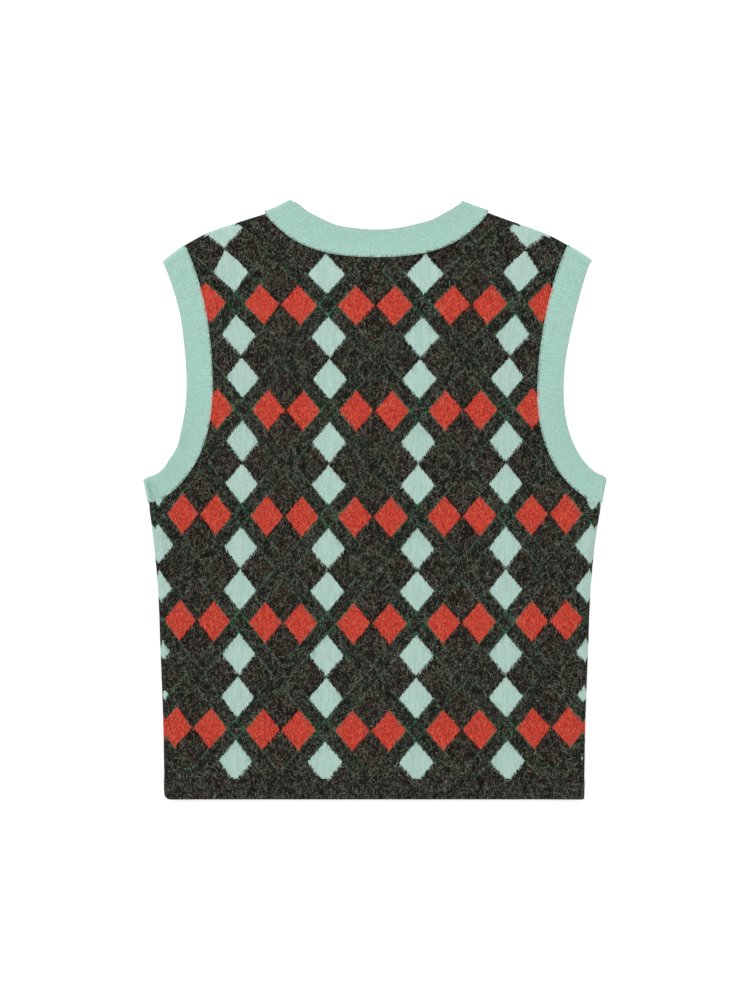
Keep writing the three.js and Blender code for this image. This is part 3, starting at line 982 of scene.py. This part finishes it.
def tuft_points(root, heading, long, wide, bend, lift):
    """Five flat points and heights of each fibre: a pair at the root, a pair half way, and the tip."""
    way = np.stack([np.cos(heading), np.sin(heading)], -1)
    side = np.stack([-way[:, 1], way[:, 0]], -1)
    half = root + way * long[:, None] * 0.5 + side * (bend * long)[:, None] * 0.25
    tip = root + way * long[:, None] * 0.96 - side * (bend * long)[:, None] * 0.3
    broad = side * wide[:, None] / 2
    flat = np.stack([root - broad, root + broad, half - broad * 0.8, half + broad * 0.8, tip], 1)
    height = np.stack([-0.1 + 0 * lift, -0.1 + 0 * lift, lift, lift, lift * 0.55], 1)
    return flat, height


def panel_roots(chance, flat, count):
    """Random flat points on a panel's grid, evenly by area."""
    a, b, c, d = flat[:-1, :-1], flat[:-1, 1:], flat[1:, :-1], flat[1:, 1:]
    area = np.abs((b - a)[..., 0] * (c - a)[..., 1] - (b - a)[..., 1] * (c - a)[..., 0]).ravel()
    cell = chance.choice(len(area), count, p=area / area.sum())
    u, v = chance.random((2, count, 1))
    a, b, c, d = (corner.reshape(-1, 2)[cell] for corner in (a, b, c, d))
    return lerp(lerp(a, b, u), lerp(c, d, u), v)


def on_dark(place):
    """True where a place of the chart is neither mint nor red."""
    a, b = place[:, 0] + place[:, 1], place[:, 0] - place[:, 1]
    near = np.minimum(np.abs(a - np.round(a)), np.abs(b - np.round(b)))
    odd = (np.floor(a) + np.floor(b)) % 2 == 1
    apart = (a % 1 > 0.5) != (b % 1 > 0.5)
    return (near < BAND_HALF + 0.02) | (apart != odd)


def dark_ground(flat):
    return on_dark(chart(flat))


def at_lower_edge(flat):
    """True just inside the lower edges of the mint diamonds, and nearer still to those of the red ones."""
    place = chart(flat)
    a, b = place[:, 0] + place[:, 1], place[:, 0] - place[:, 1]
    mint = (np.floor(a) + np.floor(b)) % 2 == 1
    below = flat - np.stack([0 * a, np.where(mint, 2.4, 1.0)], -1)
    return ~on_dark(place) & on_dark(chart(below))


def panel_nap(name, seed, flat, front, count, long, wide, lift, astray, only=None, share=1.0, spread=0.7):
    """Fibres on a panel. only says which roots are wanted, and share about how much of the panel has them."""
    chance = np.random.default_rng(seed)
    root = panel_roots(chance, flat, int(count / share))
    if only:
        root = root[only(root)][:count]
        count = len(root)
    # Brushed downwards: most fibres lie with the nap, some go anywhere.
    stray = chance.random(count) < astray
    anywhere = chance.uniform(-math.pi, math.pi, count)
    heading = np.where(stray, anywhere, chance.normal(DOWNWARDS, spread, count))
    long = chance.uniform(*long, count)
    wide = chance.uniform(*wide, count)
    bend = chance.normal(0, 0.7, count)
    lift = chance.uniform(*lift, count)
    points, height = tuft_points(root, heading, long, wide, bend, lift)
    places = lay(points, front, 0, NAP_ROOM - height, panel=True)
    if front:
        places[..., 2] = np.maximum(places[..., 2], FLOOR_ROOM)
    colour_of = chart(front_chart(root) if front else root)
    low, high = points.reshape(-1, 2).min(0), points.reshape(-1, 2).max(0)
    return joined(name, places, FIBRE_FACES, colour_of, (points - low) / (high - low))


def stitch_shape():
    """One sewn stitch: three rings of six points and two ends, along x, with its size from -1 to 1."""
    around = np.arange(6) * math.pi / 3
    ring = np.stack([0 * around, np.cos(around), np.sin(around)], -1)
    rings = [ring * (1, r, r) + (u, 0, 0) for u, r in ((-0.62, 0.75), (0, 1), (0.62, 0.75))]
    points = np.vstack([[(-1, 0, 0)], *rings, [(1, 0, 0)]])
    faces = []
    for k in range(6):
        n = (k + 1) % 6
        faces.append((0, 1 + n, 1 + k))
        faces += [(1 + r + k, 1 + r + n, 7 + r + n, 7 + r + k) for r in (0, 6)]
        faces.append((13 + k, 13 + n, 19))
    return points, faces


def joined(name, places, faces, marks, plan):
    """One mesh of many like shapes, each with its mark in the Knit map and its flat place for the bake."""
    count, size = places.shape[:2]
    every = np.arange(count)[:, None] * size
    all_faces = [row for face in faces for row in (every + np.array([face])).tolist()]
    mesh = bpy.data.meshes.new(name)
    mesh.from_pydata(places.reshape(-1, 3).tolist(), [], all_faces)
    mesh.update()
    piece = bpy.data.objects.new(name, mesh)
    bpy.context.collection.objects.link(piece)
    corner = corners(piece)
    for title, values in (("Knit", np.repeat(marks, size, 0)), ("OFBake", plan.reshape(-1, 2))):
        layer = mesh.uv_layers.new(name=title)
        layer.uv.foreach_set("vector", values[corner].astype(np.float32).ravel())
    select_only(piece)
    bpy.ops.object.shade_smooth()
    return piece


def stitch_rows(name, runs, size, proud, depth, slant, panel):
    """Rows of small stitches along flat lines. runs holds points, front and marks, a point at each stitch."""
    shape, faces = stitch_shape()
    long, wide, high = size
    parts = []
    for points, front, marks in runs:
        way = unit(np.gradient(points, axis=0))
        turned = np.full(len(points), abs(slant))
        if slant < 0:
            turned[1::2] = slant
        c, sn = np.cos(turned), np.sin(turned)
        along = np.stack([way[:, 0] * c - way[:, 1] * sn, way[:, 0] * sn + way[:, 1] * c], -1)
        across = np.stack([-along[:, 1], along[:, 0]], -1)
        flat = points[:, None] + along[:, None] * shape[None, :, :1] * long / 2
        flat = flat + across[:, None] * shape[None, :, 1:2] * wide / 2
        deep = depth - shape[None, :, 2] * high / 2
        parts.append(laid_part(flat, front, proud, deep, marks, panel))
    return from_parts(name, parts, faces)


def laid_part(flat, front, proud, depth, marks, panel=False):
    """Lays many small shapes, and keeps them off the floor. Gives their places, marks and flat points."""
    places = lay(flat, np.full(flat.shape[:2], front), proud, depth + np.zeros(flat.shape[:2]), panel=panel)
    places[..., 2] = np.maximum(places[..., 2], FLOOR_ROOM)
    return places, marks, flat


def from_parts(name, parts, faces):
    places, marks, plan = (np.concatenate(each) for each in zip(*parts))
    low, high = plan.reshape(-1, 2).min(0), plan.reshape(-1, 2).max(0)
    return joined(name, places, faces, marks, (plan - low) / (high - low))


def even_run(place, pitch):
    """Points at even steps of the seam line of a band's stretch, and the ways from them to its free edge."""
    seam, edge = place(steps_to(40))
    number = max(2, round(length_of(seam) / pitch))
    seam, edge = place((np.arange(number) + 0.5) / number)
    return seam, unit(edge - seam)


def linking(name, stretches, side=0):
    """The row of stitches that holds a band, and the join in it under the arm."""
    runs = []
    for place, front in stretches:
        seam, out = even_run(place, LINK_PITCH)
        marks = np.stack([np.arange(len(seam)) * 1.0, np.full(len(seam), 0.6)], -1)
        runs.append((seam + out * 0.35, front, marks))
    if side:
        under_arm = stretches[-1][0]
        seam, edge = under_arm(np.array([1 - SEAM_TURN / HALF_TURN]))
        share = (np.arange(13) + 0.7)[:, None] / 13.4
        marks = np.stack([np.arange(13) * 1.0, np.full(13, RIB_WIDE)], -1)
        runs.append((seam + (edge - seam) * share, False, marks))
    return stitch_rows(name, runs, (LINK_PITCH, 0.85, 0.5), BAND_PROUD, 0.2, 0.5, False)


def body_seams():
    """The side seams, from the hem to the underarm, and the shoulder seams, which lie on the back."""
    runs = []
    for side in (-1, 1):
        up = np.arange(HEM_DEPTH + 1.5, UNDERARM_SEAM - 1, SEAM_PITCH)
        down_side = np.stack([side * (side_edge(up) - FOLD_RADIUS + SEAM_TURN), up], -1)
        half = np.arange(SHOULDER_SEAM_FROM + 1, SHOULDER_SEAM_TO - 1, SEAM_PITCH)
        shoulder = np.array([on_shoulder(h, SEAM_TURN) for h in half]) * (side, 1)
        runs += [(line, False, chart(line)) for line in (down_side, shoulder)]
    return stitch_rows("side_and_shoulder_seams", runs, (2.1, 0.9, 0.5), 0, NAP_ROOM, -0.6, True)


def fibres_from(chance, root, heading, long, wide, lift):
    """Fibres with their lengths, widths and lifts drawn from the ranges given."""
    count = len(root)
    drawn = [chance.uniform(*span, count) for span in (long, wide, lift)]
    return tuft_points(root, heading, drawn[0], drawn[1], chance.normal(0, 0.7, count), drawn[2])


def band_nap(name, seed, stretches, count):
    """Short soft fibres on a ribbed band."""
    chance = np.random.default_rng(seed)
    lengths = []
    for place, front in stretches:
        seam, edge = place(steps_to(40))
        lengths.append(length_of((seam + edge) / 2))
    parts = []
    for (place, front), length in zip(stretches, lengths):
        number = int(count * length / sum(lengths))
        seam, edge = place(chance.random(number))
        across = chance.uniform(0.06, 0.93, number)
        heading = chance.uniform(-math.pi, math.pi, number)
        lift = (0.03, 0.12) if front else (0.1, 0.4)
        root = lerp(seam, edge, across[:, None])
        points, height = fibres_from(chance, root, heading, (1.2, 3.2), (0.14, 0.26), lift)
        marks = np.stack([chance.random(number) * 200, across * RIB_WIDE], -1)
        parts.append(laid_part(points, front, BAND_PROUD, 0.16 - height, marks))
    return from_parts(name, parts, FIBRE_FACES)


def seam_fuzz(name, seed, stretches):
    """Dark fibres of the panels that stray over the bands' linked rows."""
    chance = np.random.default_rng(seed)
    parts = []
    for place, front in stretches:
        if front:
            continue
        count = int(FUZZ_A_MM * length_of(place(steps_to(40))[0]))
        seam, edge = place(chance.random(count))
        out = unit(edge - seam)
        heading = np.arctan2(out[:, 1], out[:, 0]) + chance.normal(0, 0.9, len(seam))
        root = seam - out * chance.uniform(0.1, 0.6, (len(seam), 1))
        points, height = fibres_from(chance, root, heading, (1.2, 2.6), (0.14, 0.24), (0.3, 0.55))
        parts.append(laid_part(points, False, BAND_PROUD, 0.1 - height, chart(seam - out * 3)))
    return from_parts(name, parts, FIBRE_FACES)


def hem_fibres(name, seed, count, long, wide, lift):
    chance = np.random.default_rng(seed)
    parts = []
    for front, number in ((False, count), (True, count // 4)):
        up = chance.uniform(1.5, 19.5, number)
        reach = side_edge(up) - FOLD_RADIUS + (0 if front else HALF_TURN / 2)
        root = np.stack([chance.uniform(-1, 1, number) * reach, up], -1)
        heading = chance.normal(DOWNWARDS, 0.8, number)
        points, height = fibres_from(chance, root, heading, long, wide, (0.05, 0.15) if front else lift)
        points[..., 1] = np.maximum(points[..., 1], 0.4)
        parts.append(laid_part(points, front, BAND_PROUD, 0.2 - height, chart(root)))
    return from_parts(name, parts, FIBRE_FACES)


# The camera's sensor, in mm, how far it looks from, and how much it sees at that distance, in metres.
SENSOR = 36
VIEW_FROM = 4.0
VIEW_TALL = 0.975
SOFTBOX = 2.2


def stage_floor():
    bpy.ops.object.select_all(action="DESELECT")
    bpy.ops.mesh.primitive_plane_add(size=8, location=(0, 0, -0.0006))
    floor = bpy.context.object
    floor.name = "studio_floor"
    finish = Finish("pale_floor", 0.95, 0.0)
    finish.colour(dye(246, 246, 246))
    finish.shader.inputs["Emission Color"].default_value = (1, 1, 1, 1)
    finish.shader.inputs["Emission Strength"].default_value = 0.3
    floor.data.materials.append(finish.material)


def light(name, power, wide, place):
    """A soft light that faces the middle of the floor."""
    lamp = bpy.data.lights.new(name, "AREA")
    lamp.shape = "RECTANGLE"
    lamp.size = lamp.size_y = wide
    lamp.energy = power
    holder = bpy.data.objects.new(name, lamp)
    bpy.context.collection.objects.link(holder)
    holder.location = place
    holder.rotation_euler = (-Vector(place)).to_track_quat("-Z", "Y").to_euler()


def studio():
    stage_floor()
    world = bpy.data.worlds.new("soft_room")
    bpy.context.scene.world = world
    world.use_nodes = True
    room = world.node_tree.nodes["Background"]
    room.inputs[0].default_value = (1, 1, 1, 1)
    room.inputs[1].default_value = 0.94
    light("left_softbox", 33, SOFTBOX, (-1.9, 1.2, 1.6))
    light("right_softbox", 15, SOFTBOX, (1.9, 0.4, 1.9))
    bpy.context.scene.view_settings.view_transform = "Standard"
    camera = bpy.data.cameras.new("camera")
    camera.lens = SENSOR * VIEW_FROM / VIEW_TALL
    camera.clip_end = 5 * VIEW_FROM
    holder = bpy.data.objects.new("camera", camera)
    bpy.context.collection.objects.link(holder)
    holder.location = (0.0007, 0.00084, 4.005)
    bpy.context.scene.camera = holder


back_nap = panel_nap(
    "back_nap", 11, back_flat, False, 48000,
    long=(1.6, 4.0), wide=(0.16, 0.28), lift=(0.2, 0.6), astray=0.3, spread=0.95,
)
fringe = panel_nap(
    "diamond_fringe", 14, back_flat, False, 9000,
    long=(2.0, 4.6), wide=(0.18, 0.32), lift=(0.3, 0.7), astray=0.0,
    only=at_lower_edge, share=0.03, spread=0.4,
)
back_hairs = panel_nap(
    "back_hairs", 13, back_flat, False, 16000,
    long=(4.5, 10), wide=(0.1, 0.22), lift=(0.4, 0.9), astray=0.6, only=dark_ground, share=0.5,
)
front_nap = panel_nap(
    "front_nap", 12, front_flat, True, 32000,
    long=(2.5, 6.0), wide=(0.18, 0.3), lift=(0.1, 0.24), astray=0.35,
)
seams = body_seams()
hem_nap = hem_fibres("hem_nap", 21, 7000, (2.0, 5.0), (0.16, 0.28), (0.15, 0.55))
hem_hairs = hem_fibres("hem_hairs", 22, 1600, (3.0, 7.0), (0.12, 0.22), (0.3, 0.7))
for piece in (back_nap, fringe):
    dress(piece, "argyle_knit", wool_hair, "back_panel")
dress(back_hairs, "argyle_knit", pale_hair, "back_panel")
dress(front_nap, "argyle_knit", wool_hair, "front_panel")
dress(seams, "argyle_knit", argyle, "back_panel", "front_panel")
dress(hem_nap, "dark_knit", dark, "hem_band")
dress(hem_hairs, "dark_knit", pale_hair, "hem_band")


def declare_panel(piece, flat, *others):
    surface(flat)


def declare_band(piece, stretches, *others):
    """A band is knitted as one strip. Works out its length all round the middle and the area it covers, and
    keeps neither.
    """
    around, covered = 0, 0
    for place, front in stretches:
        seam, edge = place(steps_to(200))
        around += length_of((seam + edge) / 2)
        covered += surface(np.stack([seam, edge], 1))


declare_panel(back_knit, back_flat, back_nap, fringe, back_hairs, seams)
declare_panel(front_knit, front_flat, front_nap)
hem_up = np.linspace(0, HEM_DEPTH, 60)
hem_round = float(np.mean(4 * (side_edge(hem_up) - FOLD_RADIUS) + 2 * HALF_TURN))
for piece, place, node, stretches, side, seed, count in (
    (neck_rib, "neck", "neck_band", neck_stretches(), 0, 31, 13000),
    (left_rib, "left_armhole", "armhole_band_left", armhole_stretches(-1), -1, 32, 10000),
    (right_rib, "right_armhole", "armhole_band_right", armhole_stretches(1), 1, 33, 10000),
):
    linked = dress(linking(place + "_linking", stretches, side), "mint_rib", rib, node)
    soft = dress(band_nap(place + "_soft_nap", seed, stretches, count), "mint_rib", rib_hair, node)
    fuzz = dress(seam_fuzz(place + "_seam_fuzz", seed + 10, stretches), "argyle_knit", wool_hair, node)
    declare_band(piece, stretches, linked, soft, fuzz)

studio()
